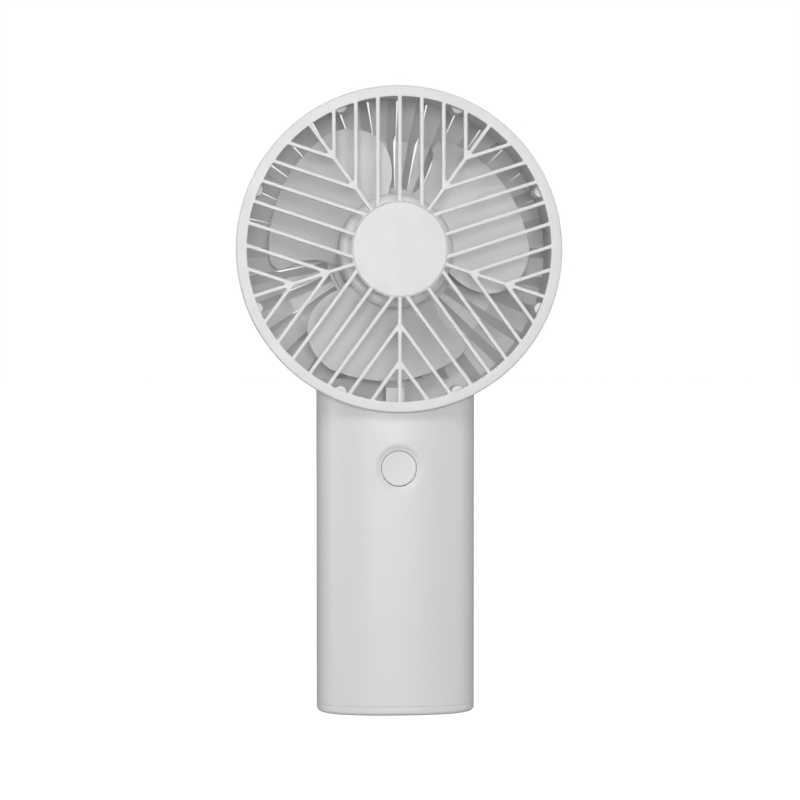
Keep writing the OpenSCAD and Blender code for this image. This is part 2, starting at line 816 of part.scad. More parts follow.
module battery_wires() {
    color("firebrick") {
        wire([
            [8, 0.8, 76.6], [7.8, -2.4, 77.6], [7.8, -6, 77.9], [7.9, -9.2, 77.7], [8, -9.9, 76.4]
        ], 0.4);
        wire([
            [2.2, -5.5, 11.45], [2.2, -6.4, 13], [2.2, -6.8, 20], [2.2, -6.8, 45],
            [2.2, -6.8, 70], [2.6, -6.7, 76], [4.2, -7.4, 77.6], [6.2, -9.2, 77.6], [6.8, -9.9, 76.4]
        ], 0.4);
    }
}

module battery_foam() {
    color(black_part) box([-2.4, 8.1, 22], [2.4, in_t - 0.2, 66]);
}

// ---------- charging port ----------

module usb_shell() {
    color(steel) difference() {
        hull() for (s = [-1, 1]) translate([s * 2.89, 0, 0.6]) cylinder(r = 1.58, h = 7.3);
        hull() for (s = [-1, 1]) translate([s * 2.89, 0, 0]) cylinder(r = 1.28, h = 7.4);
    }
}

module usb_tongue() {
    color(black_part) union() {
        box([-3.3, -0.35, 1.6], [3.3, 0.35, 7.4]);
        box([-3.2, -1.1, 6.2], [3.2, 1.1, 7.4]);
    }
}

module usb_board() {
    color(board_green) box([-6.5, 1.6, 6.2], [6.5, 2.4, 9.3]);
}

module usb_wires() {
    color(black_part) for (i = [-1, 1]) wire([
        [i * 2.4, 1.1, 8.6], [i * 2, -0.6, 9], [i * 1.4, -4, 9.1], [i * 0.8, -6.6, 11],
        [i * 0.7, -6.8, 18], [i * 0.7, -6.8, 30], [i * 0.7, -6.8, 42], [i * 0.9, -7.3, 46], [i * 1.2, -7.95, 48]
    ], 0.4);
}

front_grille();
grille_cap();
fan_housing();
wire_cover();
rear_hub_cap();
impeller();
rotor_can();
magnet_ring();
motor_shaft();
shaft_clip();
motor_base();
bearing_tube();
front_bush();
rear_bush();
stator_core();
stator_insulators();
stator_windings();
motor_board();
motor_screws();
motor_wires();
handle_front_shell();
handle_rear_shell();
bottom_cap();
cap_screws();
neck_screws();
button();
switch_body();
switch_plunger();
main_board();
board_screws();
controller_chip();
charger_chip();
power_inductor();
board_capacitors();
motor_socket();
motor_plug();
battery_socket();
battery_plug();
cell_left();
cell_right();
cell_cradle_bottom();
cell_cradle_top();
cell_strip_top();
cell_strip_bottom();
battery_wires();
battery_foam();
usb_board();
usb_shell();
usb_tongue();
usb_wires();
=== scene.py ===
"""Handheld electric fan: the looks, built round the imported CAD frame.

Lengths are in millimetres until piece() turns them into metres. The head has its own frame:
x right, y up, z towards the front. The row frame is x right, y backwards, z up.
"""

import json
import math

import bmesh
import bpy
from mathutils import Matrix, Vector
from mathutils.geometry import delaunay_2d_cdt


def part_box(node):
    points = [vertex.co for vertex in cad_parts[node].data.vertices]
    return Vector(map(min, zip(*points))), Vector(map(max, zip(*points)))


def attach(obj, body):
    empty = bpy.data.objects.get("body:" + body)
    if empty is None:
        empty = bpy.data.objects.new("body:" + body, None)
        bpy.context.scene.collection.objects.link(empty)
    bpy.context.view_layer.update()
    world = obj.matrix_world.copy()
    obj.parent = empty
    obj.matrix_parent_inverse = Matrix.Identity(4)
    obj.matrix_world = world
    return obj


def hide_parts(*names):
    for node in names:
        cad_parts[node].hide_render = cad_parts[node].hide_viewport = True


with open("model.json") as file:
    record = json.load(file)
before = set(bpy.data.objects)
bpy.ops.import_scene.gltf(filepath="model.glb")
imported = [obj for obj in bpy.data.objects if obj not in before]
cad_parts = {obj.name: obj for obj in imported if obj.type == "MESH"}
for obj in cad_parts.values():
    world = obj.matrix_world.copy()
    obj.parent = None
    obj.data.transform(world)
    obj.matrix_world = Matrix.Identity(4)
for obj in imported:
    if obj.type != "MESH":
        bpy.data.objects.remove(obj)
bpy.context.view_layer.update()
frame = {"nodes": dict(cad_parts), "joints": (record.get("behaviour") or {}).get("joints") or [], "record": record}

MM = 0.001

# Light levels: the lamps in watts, then the strength of the room's light and of the floor's glow
HEAD_W = 5.35
KEY_W = 2.8
SIDE_W = 3.6
RIGHT_W = SIDE_W * 0.6
REAR_W = 4.5
WORLD = 0.17
FLOOR_GLOW = 0.95


def joint(name):
    return next(j for j in frame["joints"] if j["name"] == name)


def low(node, axis):
    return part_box(node)[0][axis] / MM


def high(node, axis):
    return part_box(node)[1][axis] / MM


# ---------- dimensions: from the frame, as in part.scad, or this model's own ----------

AXIS_Z = joint("impeller_spin")["pos_m"][2] / MM
FACE = -low("front_grille", 1)  # front plane of the grille, in the head's z
RIM_R = (high("front_grille", 0) - low("front_grille", 0)) / 2
RIM_IN = 39.2
RIM_T = 2.5
BAR_T = 2.0
BAR_W = 0.95
BAR_STEP = 5.65
BARS_EACH_SIDE = 3
BAR_CORNER = 0.28
SECTORS = 5
SECTOR = math.radians(360 / SECTORS)
COLLAR_R = 12.5
CAP_R = 12.15
CAP_T = 0.8
RIM_BACK = FACE - RIM_T
POSTS = 8
POST_A = 22.5
POST_R = 0.9
POST_ORBIT = 40
POST_LEN = 5
SOCKET_R = 1.6
SOCKET_ORBIT = 39.7
SOCKET_LEN = 8

DUCT_OUT = 41.4
DUCT_IN = 40.4
BACK_Z = -high("fan_housing", 1)
VANE_FRONT = BACK_Z + 3.5
CONE_R, CONE_RISE = 30.0, 6.0
CONE_BACK_R, CONE_BACK_RISE = 32.0, 5.4
SLOT_FRONT = -8.2
SLOT_R1 = 40.7
SLOT_R0 = 17.5
SLOT_W0, SLOT_W1 = 1.6, 2.45
SLANT = math.radians(-31)
VANES = 32
SHELF_Y = 33.5
MOUNT_R = 16.5
MOUNT_FRONT = -11.5
MOUNT_BORE_R = 4.2
REAR_RECESS_R = 14.2

HUB_R = 15.0
HUB_FRONT, HUB_BACK = 4.9, -9.8
LEAD_TIP, TRAIL_TIP = 32.8, 35.4
LEAD_A, TRAIL_A = 189.0, 93.0
LEAD_Z, RISE, BLADE_T = -7.6, 11.0, 1.3
BLADES = 3
TRAIL_BEND_R, TRAIL_SWEEP, TRAIL_CURVE = 21, 30.5, 0.139
LEAD_BEND_R, LEAD_SWEEP = 29.3, 7
LEAD_BULGE_R, LEAD_BULGE = 22.3, 3.5
LEAD_CURVE_IN, LEAD_CURVE_OUT = 0.148, 0.0714

HALF_W = high("handle_front_shell", 0)
HALF_T = high("handle_rear_shell", 1)
WALL = 1.7
POWER = 2.5
SHELL_Z0 = low("handle_front_shell", 2)
BUTTON_Z = (low("button", 2) + high("button", 2)) / 2
BUTTON_FACE = low("button", 1)
BUTTON_R = 4.52  # the CAD's is 4.42
HOLE_R = BUTTON_R + 0.18
DISH_R = 6.45
DISH_DEPTH = 0.45
SKIN_LIFT = 0.03  # the handle's skins stand this far outside its outline
LUG_X, LUG_Z, LUG_POCKET_R = 11.5, 78.3, 1.8
PORT_HALF, PORT_R = 3.0, 1.75
CAP_HOLE_R = 2.0
CAP_RIM_TOP = 5.9


# ---------- camera, light and floor ----------


def make_camera():
    """The photo's viewpoint: a long lens, a little left of the head and just below its middle."""
    data = bpy.data.cameras.new("photo_camera")
    data.sensor_width = 36.0
    data.lens = 118.5
    data.clip_start = 0.01
    cam = bpy.data.objects.new("photo_camera", data)
    front = -FACE * MM
    cam.location = (-0.053, front - 0.674, 0.0964)
    aim = Vector((0.0, front, 0.0818))
    cam.rotation_euler = (aim - cam.location).to_track_quat("-Z", "Y").to_euler()
    bpy.context.scene.collection.objects.link(cam)
    bpy.context.scene.camera = cam


def area_light(name, place, aim, size, watts):
    data = bpy.data.lights.new(name, "AREA")
    data.shape = "RECTANGLE"
    data.size, data.size_y = size
    data.energy = watts
    light = bpy.data.objects.new(name, data)
    light.location = place
    direction = Vector(aim) - Vector(place)
    light.rotation_euler = direction.to_track_quat("-Z", "Y").to_euler()
    bpy.context.scene.collection.objects.link(light)


def make_studio():
    """Soft light from the front and from above, with less from both sides and from behind."""
    middle = (0, 0, 0.09)
    area_light("head_on", (-0.03, -1.2, 0.17), middle, (0.34, 0.24), HEAD_W)
    area_light("key", (-0.15, -0.85, 0.80), middle, (0.35, 0.35), KEY_W)
    area_light("side", (-1.1, -0.3, 0.20), middle, (0.5, 0.5), SIDE_W)
    area_light("rear", (0.5, 1.1, 0.7), middle, (0.6, 0.6), REAR_W)
    area_light("side_right", (1.0, -0.4, 0.20), middle, (0.5, 0.5), RIGHT_W)
    world = bpy.data.worlds.new("soft_room")
    world.use_nodes = True
    background = world.node_tree.nodes["Background"]
    background.inputs["Color"].default_value = (0.97, 0.98, 1.0, 1.0)
    background.inputs["Strength"].default_value = WORLD
    bpy.context.scene.world = world
    bpy.context.scene.view_settings.view_transform = "Standard"


def stage_object(name, verts, faces, color, emission):
    mesh = bpy.data.meshes.new(name)
    mesh.from_pydata(verts, [], faces)
    for p in mesh.polygons:
        p.use_smooth = True
    mat, _, _, shader = new_material(name)
    shader.inputs["Base Color"].default_value = (color, color, color, 1.0)
    shader.inputs["Roughness"].default_value = 0.9
    shader.inputs["Emission Color"].default_value = (1.0, 1.0, 1.0, 1.0)
    shader.inputs["Emission Strength"].default_value = emission
    mesh.materials.append(mat)
    obj = bpy.data.objects.new(name, mesh)
    bpy.context.scene.collection.objects.link(obj)
    return obj


def make_floor():
    """A pale floor that glows, and a white dome; neither lights the object or shows in its gloss."""
    half, height = 6.0, -0.0002
    corners = [(x * half, y * half, height) for x, y in ((-1, -1), (1, -1), (1, 1), (-1, 1))]
    floor = stage_object("floor", corners, [(0, 1, 2, 3)], 0.92, FLOOR_GLOW)
    floor.visible_glossy = floor.visible_diffuse = False
    radius, sunk = 8.0, 0.1
    arch = [(radius * math.cos(a), radius * math.sin(a) - sunk) for a in arc_steps(0, 1.55, 16)]
    verts, faces = lathe(arch, 48, False)
    dome = stage_object("backdrop", verts, faces, 0.0, 1.0)
    dome.visible_diffuse = dome.visible_glossy = dome.visible_shadow = False


# ---------- materials ----------


def new_material(name):
    mat = bpy.data.materials.new(name)
    mat.use_nodes = True
    nodes, links = mat.node_tree.nodes, mat.node_tree.links
    return mat, nodes, links, nodes["Principled BSDF"]


def noise(nodes, links, scale, detail=2.0, stretch=(1, 1, 1)):
    """A noise texture in object space; scale is features per metre."""
    coord = nodes.new("ShaderNodeTexCoord")
    mapping = nodes.new("ShaderNodeMapping")
    mapping.inputs["Scale"].default_value = stretch
    texture = nodes.new("ShaderNodeTexNoise")
    texture.inputs["Scale"].default_value = scale
    texture.inputs["Detail"].default_value = detail
    links.new(coord.outputs["Object"], mapping.inputs["Vector"])
    links.new(mapping.outputs["Vector"], texture.inputs["Vector"])
    return texture


def ramp(nodes, links, source, low_value, high_value):
    """Maps a 0-1 noise to the range between two greys or colours."""
    node = nodes.new("ShaderNodeValToRGB")
    node.color_ramp.elements[0].position = 0.3
    node.color_ramp.elements[1].position = 0.7
    node.color_ramp.elements[0].color = (*low_value, 1.0)
    node.color_ramp.elements[1].color = (*high_value, 1.0)
    links.new(source.outputs["Fac"], node.inputs["Fac"])
    return node


def bump(nodes, links, shader, source, distance, strength):
    node = nodes.new("ShaderNodeBump")
    node.inputs["Distance"].default_value = distance * MM
    node.inputs["Strength"].default_value = strength
    links.new(source.outputs["Fac"], node.inputs["Height"])
    links.new(node.outputs["Normal"], shader.inputs["Normal"])


def speckled(name, color, spread, rough, scale, grain, depth, metal=0.0):
    """A base that varies a little in colour and roughness, with a fine moulded grain."""
    mat, nodes, links, shader = new_material(name)
    dark = [c * (1 - spread) for c in color]
    light = [min(1.0, c * (1 + spread)) for c in color]
    tone = ramp(nodes, links, noise(nodes, links, scale, 3.0), dark, light)
    links.new(tone.outputs["Color"], shader.inputs["Base Color"])
    wear = ramp(nodes, links, noise(nodes, links, scale * 3.1, 4.0), [rough[0]] * 3, [rough[1]] * 3)
    links.new(wear.outputs["Color"], shader.inputs["Roughness"])
    bump(nodes, links, shader, noise(nodes, links, grain, 2.0), depth, 0.35)
    shader.inputs["Metallic"].default_value = metal
    return mat, shader


def white_shell():
    mat, shader = speckled("white_shell", (0.81, 0.81, 0.818), 0.008, (0.36, 0.46), 60, 5200, 0.02)
    shader.inputs["Subsurface Weight"].default_value = 0.06
    shader.inputs["Subsurface Radius"].default_value = (0.001, 0.001, 0.001)
    return mat


def impeller_plastic():
    mat, shader = speckled("impeller_plastic", (0.78, 0.78, 0.785), 0.01, (0.30, 0.40), 80, 6500, 0.01)
    shader.inputs["Subsurface Weight"].default_value = 0.08
    shader.inputs["Subsurface Radius"].default_value = (0.001, 0.001, 0.001)
    return mat


def brushed_steel():
    mat, nodes, links, shader = new_material("steel")
    streaks = noise(nodes, links, 900, 3.0, (1, 14, 1))
    tone = ramp(nodes, links, streaks, (0.50, 0.51, 0.53), (0.62, 0.63, 0.65))
    links.new(tone.outputs["Color"], shader.inputs["Base Color"])
    rough = ramp(nodes, links, streaks, (0.24,) * 3, (0.38,) * 3)
    links.new(rough.outputs["Color"], shader.inputs["Roughness"])
    shader.inputs["Metallic"].default_value = 1.0
    bump(nodes, links, shader, streaks, 0.01, 0.3)
    return mat


def copper_wire():
    mat, nodes, links, shader = new_material("copper")
    coord = nodes.new("ShaderNodeTexCoord")
    wave = nodes.new("ShaderNodeTexWave")
    wave.inputs["Scale"].default_value = 900
    wave.inputs["Distortion"].default_value = 1.5
    links.new(coord.outputs["Object"], wave.inputs["Vector"])
    tone = ramp(nodes, links, wave, (0.42, 0.14, 0.05), (0.72, 0.30, 0.13))
    links.new(tone.outputs["Color"], shader.inputs["Base Color"])
    shader.inputs["Metallic"].default_value = 1.0
    shader.inputs["Roughness"].default_value = 0.3
    bump(nodes, links, shader, wave, 0.1, 0.6)
    return mat


def circuit_board():
    mat, shader = speckled("circuit_board", (0.03, 0.20, 0.09), 0.15, (0.22, 0.34), 700, 9000, 0.01)
    shader.inputs["Coat Weight"].default_value = 0.4
    return mat


# Slots that are only speckled: the arguments of speckled() after the name
SPECKLED = {
    "dark_metal": ((0.10, 0.10, 0.11), 0.2, (0.45, 0.6), 500, 4000, 0.03, 0.8),
    "bearing_brass": ((0.62, 0.44, 0.18), 0.08, (0.2, 0.32), 600, 5000, 0.01, 1.0),
    "black_plastic": ((0.03, 0.03, 0.032), 0.15, (0.45, 0.6), 300, 6000, 0.02),
    "ceramic_brown": ((0.40, 0.28, 0.15), 0.1, (0.4, 0.5), 900, 6000, 0.02),
    "ivory_plastic": ((0.66, 0.60, 0.45), 0.04, (0.4, 0.5), 300, 6000, 0.02),
    "cell_sleeve": ((0.03, 0.11, 0.42), 0.06, (0.2, 0.3), 200, 3000, 0.02),
    "foam": ((0.05, 0.05, 0.05), 0.3, (0.85, 0.95), 1500, 2500, 0.2),
    "lead_insulation": ((0.30, 0.02, 0.015), 0.1, (0.4, 0.5), 400, 5000, 0.02),
}


def make_materials():
    """One material per slot of the record."""
    materials = {
        "circuit_board": circuit_board(),
        "white_shell": white_shell(),
        "impeller_plastic": impeller_plastic(),
        "steel": brushed_steel(),
        "copper": copper_wire(),
    }
    for name, look in SPECKLED.items():
        materials[name] = speckled(name, *look)[0]
    return materials


# ---------- shared shape helpers ----------


def arc_steps(start, end, count):
    return [start + (end - start) * i / count for i in range(count + 1)]


def arc(centre, radius, start, end, count):
    """Points of a plane arc, angles in degrees."""
    return [
        (centre[0] + radius * math.cos(math.radians(a)), centre[1] + radius * math.sin(math.radians(a)))
        for a in arc_steps(start, end, count)
    ]


def from_head(p):
    """A point of the head's frame in the row frame."""
    return (p[0], -p[2], AXIS_Z + p[1])


def turned(p, angle):
    c, s = math.cos(angle), math.sin(angle)
    return (p[0] * c - p[1] * s, p[0] * s + p[1] * c, *p[2:])


def rounded(points, radius, steps=4):
    """A closed outline with its real corners replaced by arcs; flat joints of sampled arcs stay."""
    out = []
    count = len(points)
    for i in range(count):
        a, b, c = (Vector(points[(i + k) % count]) for k in (-1, 0, 1))
        u, w = a - b, c - b
        room = min(u.length, w.length)
        u.normalize()
        w.normalize()
        angle = u.angle(w)
        if angle > math.radians(155):
            out.append(tuple(b))
            continue
        reach = min(radius / math.tan(angle / 2), 0.48 * room)
        size = reach * math.tan(angle / 2)
        centre = b + (u + w).normalized() * (size / math.sin(angle / 2))
        s, e = b + u * reach - centre, b + w * reach - centre
        total = s.angle(e)
        for q in arc_steps(0, 1, steps):
            v = (s * math.sin((1 - q) * total) + e * math.sin(q * total)) / math.sin(total)
            out.append(tuple(centre + v))
    return out


def area_of(loop):
    return 0.5 * sum(p[0] * q[1] - q[0] * p[1] for p, q in zip(loop, loop[1:] + loop[:1]))


def grown(loop, distance):
    """A closed plane outline moved outwards by distance, or inwards if it is negative."""
    sign = 1 if area_of(loop) > 0 else -1
    out = []
    count = len(loop)
    for i in range(count):
        a, b, c = (Vector(loop[(i + k) % count]) for k in (-1, 0, 1))
        d0, d1 = (b - a).normalized(), (c - b).normalized()
        n0, n1 = Vector((d0.y, -d0.x)) * sign, Vector((d1.y, -d1.x)) * sign
        middle = (n0 + n1).normalized()
        out.append(tuple(b + middle * (distance / max(0.35, middle.dot(n0)))))
    return out


class Shape:
    """Vertices and faces of one piece, gathered from several bodies of material."""

    def __init__(self):
        self.verts = []
        self.faces = []

    def add(self, verts, faces):
        base = len(self.verts)
        self.verts += verts
        self.faces += [[i + base for i in face] for face in faces]

    def add_head(self, verts, faces):
        self.add([from_head(p) for p in verts], faces)


def band(rows, columns, closed_rows=False, closed_columns=True):
    """Quads between the rows of a grid of vertices."""
    faces = []
    for i in range(rows if closed_rows else rows - 1):
        for j in range(columns if closed_columns else columns - 1):
            k, m = (i + 1) % rows, (j + 1) % columns
            faces.append((i * columns + j, i * columns + m, k * columns + m, k * columns + j))
    return faces


def two_skins(rows, columns):
    """Faces of a closed body made of two equal grids of vertices, and of the wall round them."""
    count = rows * columns
    top = band(rows, columns, closed_columns=False)
    faces = top + [tuple(reversed([i + count for i in f])) for f in top]
    border = list(range(columns)) + [i * columns + columns - 1 for i in range(1, rows)]
    border += [(rows - 1) * columns + j for j in range(columns - 2, -1, -1)]
    border += [i * columns for i in range(rows - 2, 0, -1)]
    for a, b in zip(border, border[1:] + border[:1]):
        faces.append((a, b, b + count, a + count))
    return faces


def lathe(profile, count=160, closed=True, centre=(0, 0)):
    """A profile of (radius, z) turned round the head's z axis, or one parallel to it."""
    verts = [
        (centre[0] + r * math.cos(a), centre[1] + r * math.sin(a), z)
        for r, z in profile
        for a in [2 * math.pi * j / count for j in range(count)]
    ]
    return verts, band(len(profile), count, closed_rows=closed)


def plate(outer, holes, face, back, outer_edge, hole_edges, steps=3):
    """A flat plate with holes. Its edges on the face are rounded by the given radii."""
    bm = bmesh.new()
    toward = 1 if back > face else -1
    depth = abs(back - face)

    def ring(loop, z):
        return [bm.verts.new((x, y, z)) for x, y in loop]

    def wall(upper, lower):
        for i in range(len(upper)):
            j = (i + 1) % len(upper)
            bm.faces.new((upper[i], upper[j], lower[j], lower[i]))

    fronts, backs = [], []
    for loop, edge, way in [(outer, outer_edge, -1)] + [(h, e, 1) for h, e in zip(holes, hole_edges)]:
        small = min(edge, 0.15)
        rows = []
        for a in arc_steps(0, math.pi / 2, steps):
            rows.append((way * edge * (1 - math.sin(a)), edge * (1 - math.cos(a))))
        for a in arc_steps(0, math.pi / 2, 2):
            rows.append((way * small * (1 - math.cos(a)), depth - small * (1 - math.sin(a))))
        rings = [ring(grown(loop, offset), face + toward * d) for offset, d in rows]
        for upper, lower in zip(rings, rings[1:]):
            wall(upper, lower)
        fronts.append(rings[0])
        backs.append(rings[-1])
    for rings in (fronts, backs):
        fill(bm, rings)
    bm.verts.index_update()
    verts = [tuple(v.co) for v in bm.verts]
    faces = [[v.index for v in f.verts] for f in bm.faces]
    bm.free()
    return verts, faces


def inside(point, loop):
    hit = False
    for (x0, y0), (x1, y1) in zip(loop, loop[1:] + loop[:1]):
        if (y0 > point[1]) != (y1 > point[1]) and point[0] < x0 + (point[1] - y0) * (x1 - x0) / (y1 - y0):
            hit = not hit
    return hit


def fill(bm, rings):
    """Faces between the first ring of vertices and the others, which are holes in it."""
    verts = [v for ring in rings for v in ring]
    edges, base = [], 0
    for ring in rings:
        edges += [(base + i, base + (i + 1) % len(ring)) for i in range(len(ring))]
        base += len(ring)
    flat = [Vector((v.co.x, v.co.y)) for v in verts]
    _, _, triangles, origin, _, _ = delaunay_2d_cdt(flat, edges, [], 1, 1e-5)
    holes = []
    for ring in rings[1:]:
        loop = [(v.co.x, v.co.y) for v in ring]
        xs, ys = [p[0] for p in loop], [p[1] for p in loop]
        holes.append((min(xs), max(xs), min(ys), max(ys), loop))
    for tri in triangles:
        corners = [verts[origin[i][0]] for i in tri]
        x, y = (sum(v.co[k] for v in corners) / 3 for k in (0, 1))
        if any(a < x < b and c < y < d and inside((x, y), loop) for a, b, c, d, loop in holes):
            continue
        bm.faces.new(corners)


def soften(obj, width, segments, angle):
    """Rounds the edges sharper than an angle in degrees, by a width in millimetres."""
    edge = obj.modifiers.new("edges", "BEVEL")
    edge.width = width * MM
    edge.segments = segments
    edge.limit_method = "ANGLE"
    edge.angle_limit = math.radians(angle)
    return edge


def piece(name, shape, body, slot, replaces=(), bevel=0.0, sharp=40):
    """Makes one object from a shape in the row frame, with clean normals and rounded edges."""
    mesh = bpy.data.meshes.new(name)
    mesh.from_pydata([tuple(c * MM for c in v) for v in shape.verts], [], shape.faces)
    bm = bmesh.new()
    bm.from_mesh(mesh)
    bmesh.ops.remove_doubles(bm, verts=bm.verts, dist=1e-6)
    bmesh.ops.dissolve_degenerate(bm, edges=bm.edges, dist=1e-7)
    bmesh.ops.recalc_face_normals(bm, faces=bm.faces)
    for face in bm.faces:
        face.smooth = True
    if not bevel:
        for edge in bm.edges:
            if len(edge.link_faces) == 2 and edge.calc_face_angle(0) > math.radians(sharp):
                edge.smooth = False
    bm.to_mesh(mesh)
    bm.free()
    obj = bpy.data.objects.new(name, mesh)
    bpy.context.scene.collection.objects.link(obj)
    mesh.materials.append(MATERIALS[slot])
    if bevel:
        soften(obj, bevel, 3, sharp).miter_outer = "MITER_ARC"
    normals = obj.modifiers.new("normals", "WEIGHTED_NORMAL")
    normals.keep_sharp = True
    normals.weight = 60
    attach(obj, body)
    if replaces:
        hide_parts(*replaces)
    return obj


# ---------- front grille ----------


def half_sector_holes():
    """The openings right of a sector's middle bar, which stands along +y."""
    half = SECTOR / 2
    edge = BAR_W / 2
    s, c = math.sin(half), math.cos(half)

    def spine(x):
        return (edge + x * c) / s

    def on_spine(radius):
        t = math.sqrt(radius**2 - edge**2)
        return (-edge * c + t * s, edge * s + t * c)

    def circle(radius, x0, x1):
        """Points round a circle from abscissa x0 to x1, over its top."""
        a0, a1 = math.acos(x0 / radius), math.acos(x1 / radius)
        count = max(2, int(abs(a1 - a0) * radius / 1.3))
        return [(radius * math.cos(a), radius * math.sin(a)) for a in arc_steps(a0, a1, count)]

    holes = []
    for i in range(BARS_EACH_SIDE + 1):
        x0 = i * BAR_STEP + edge
        x1 = (i + 1) * BAR_STEP - edge
        if i == 0:
            lower = circle(COLLAR_R, x0, x1)
        elif i == 1:
            lower = circle(COLLAR_R, x0, on_spine(COLLAR_R)[0]) + [(x1, spine(x1))]
        elif i == 2:
            lower = [(x0, spine(x0)), (x1, spine(x1))]
        else:
            x1 = on_spine(RIM_IN)[0]
            lower = [(x0, spine(x0))]
        holes.append(lower + circle(RIM_IN, x1, x0))
    return holes


def grille_holes():
    """All the openings, from those of half a sector turned and mirrored."""
    holes = []
    for loop in half_sector_holes():
        loop = rounded(loop, BAR_CORNER)
        for k in range(SECTORS):
            holes.append([turned(p, SECTOR * k) for p in loop])
            holes.append([turned((-p[0], p[1]), SECTOR * k) for p in reversed(loop)])
    return holes


def circle_loop(radius, count, centre=(0, 0)):
    angles = [2 * math.pi * i / count for i in range(count)]
    return [(centre[0] + radius * math.cos(a), centre[1] + radius * math.sin(a)) for a in angles]


def post_places(orbit):
    """Centres of the snap posts on a circle of the given radius."""
    angles = [math.radians(POST_A + 360 / POSTS * k) for k in range(POSTS)]
    return [(orbit * math.cos(a), orbit * math.sin(a)) for a in angles]


def make_grille():
    shape = Shape()
    recess = circle_loop(CAP_R + 0.05, 128)
    holes = grille_holes()
    edges = [0.2] * len(holes) + [0.03]
    shape.add_head(*plate(circle_loop(RIM_R, 320), holes + [recess], FACE, FACE - BAR_T, 0.45, edges))
    shape.add_head(*lathe([
        (RIM_IN + 0.4, FACE - BAR_T + 0.6), (RIM_R - 0.06, FACE - BAR_T + 0.6),
        (RIM_R - 0.02, FACE - BAR_T + 0.1), (RIM_R - 0.02, RIM_BACK + 0.25),
        (RIM_R - 0.1, RIM_BACK + 0.07), (RIM_R - 0.28, RIM_BACK),
        (RIM_IN + 0.6, RIM_BACK), (RIM_IN + 0.4, RIM_BACK + 0.2)
    ], 320))
    shape.add_head(*lathe([
        (0, FACE - CAP_T), (COLLAR_R - 0.1, FACE - CAP_T), (COLLAR_R - 0.1, FACE - BAR_T - 0.6),
        (COLLAR_R - 0.4, FACE - 2.8), (0, FACE - 2.8)
    ], closed=False))
    tip = RIM_BACK - POST_LEN
    for place in post_places(POST_ORBIT):
        shape.add_head(*lathe([
            (0, RIM_BACK + 0.3), (POST_R, RIM_BACK + 0.3), (POST_R, tip + 0.3), (POST_R - 0.2, tip), (0, tip)
        ], 24, False, place))
    piece("guard", shape, "base", "white_shell", ["front_grille"], sharp=50)


def make_guard_cap():
    cap = Shape()
    cap.add_head(*lathe([
        (0, FACE), (CAP_R - 0.2, FACE), (CAP_R - 0.06, FACE - 0.06), (CAP_R, FACE - 0.2),
        (CAP_R, FACE - CAP_T + 0.02), (0, FACE - CAP_T + 0.02)
    ], closed=False))
    piece("guard_cap", cap, "base", "white_shell", ["grille_cap"])


# ---------- fan housing ----------


def wall_front(r):
    """Height of the rear wall's front side at radius r: flat, then a cone up to the barrel."""
    return VANE_FRONT + CONE_RISE * max(0.0, r - CONE_R) / (DUCT_IN - CONE_R)


def wall_back(r):
    """Height of the rear wall's back at radius r."""
    return BACK_Z + CONE_BACK_RISE * max(0.0, r - CONE_BACK_R) / (DUCT_OUT - CONE_BACK_R)


def slot_edge(r, z, side):
    """Angle of a slot's edge from its middle line, at a point of the rear wall."""
    y = -(z - wall_front(r)) * math.tan(SLANT)
    share = (r - SLOT_R0) / (DUCT_OUT - SLOT_R0)
    width = (SLOT_W0 + (SLOT_W1 - SLOT_W0) * share) / math.cos(SLANT)
    return math.asin((y + side * width / 2) / r)


def vane(index):
    """One vane of the rear wall, between two slots."""
    pitch = 2 * math.pi / VANES
    start = index * pitch
    verts = []
    stations = [SLOT_R0 - 1, SLOT_R0 - 0.3, *arc_steps(SLOT_R0, CONE_R - 1, 8)]
    stations += [CONE_R - 0.4, CONE_R, CONE_R + 0.6, CONE_BACK_R]
    stations += [*arc_steps(CONE_BACK_R + 0.6, SLOT_R1, 6), 41.0, 41.2]
    for r in stations:
        sunk = 0 if SLOT_R0 <= r <= SLOT_R1 else 0.4
        front, back = wall_front(r) - sunk, wall_back(r) + sunk
        for z, share in [(front, 0), (front, 0.5), (front, 1), (back, 1), (back, 0.5), (back, 0)]:
            a0, a1 = start + slot_edge(r, z, 1), start + pitch + slot_edge(r, z, -1)
            a = a0 + (a1 - a0) * share
            verts.append((r * math.cos(a), r * math.sin(a), z))
    rows = len(stations)
    faces = band(rows, 6)
    faces += [list(range(6)), list(range(6 * rows - 1, 6 * rows - 7, -1))]
    return verts, faces


def shelf():
    """The solid part of the rear wall over the handle."""
    half_count, rows = 14, 13
    columns = [HALF_W * (j / half_count - 1) for j in range(2 * half_count + 1)]
    verts = []
    for lift in (0.08, -0.08):
        for i in range(rows):
            for x in columns:
                r = math.hypot(x, SHELF_Y)
                r += (40.9 - r) * i / (rows - 1)
                z = wall_front(r) if lift > 0 else wall_back(r)
                verts.append((x, -math.sqrt(max(0.0, r * r - x * x)), z + lift))
    return verts, two_skins(rows, len(columns))


def neck():
    """The collar that stands in the top of the handle."""
    verts = []
    count = 96
    bottom = low("fan_housing", 2)
    for inset, lift in ((WALL + 0.15, 0), (WALL + 0.15, 1), (WALL + 1.45, 1), (WALL + 1.45, 0)):
        for x, y in oval(HALF_W - inset, HALF_T - inset, count):
            z = AXIS_Z - math.sqrt((DUCT_OUT - 0.5) ** 2 - x * x) if lift else bottom
            verts.append((x, y, z))
    return verts, band(4, count, closed_rows=True)


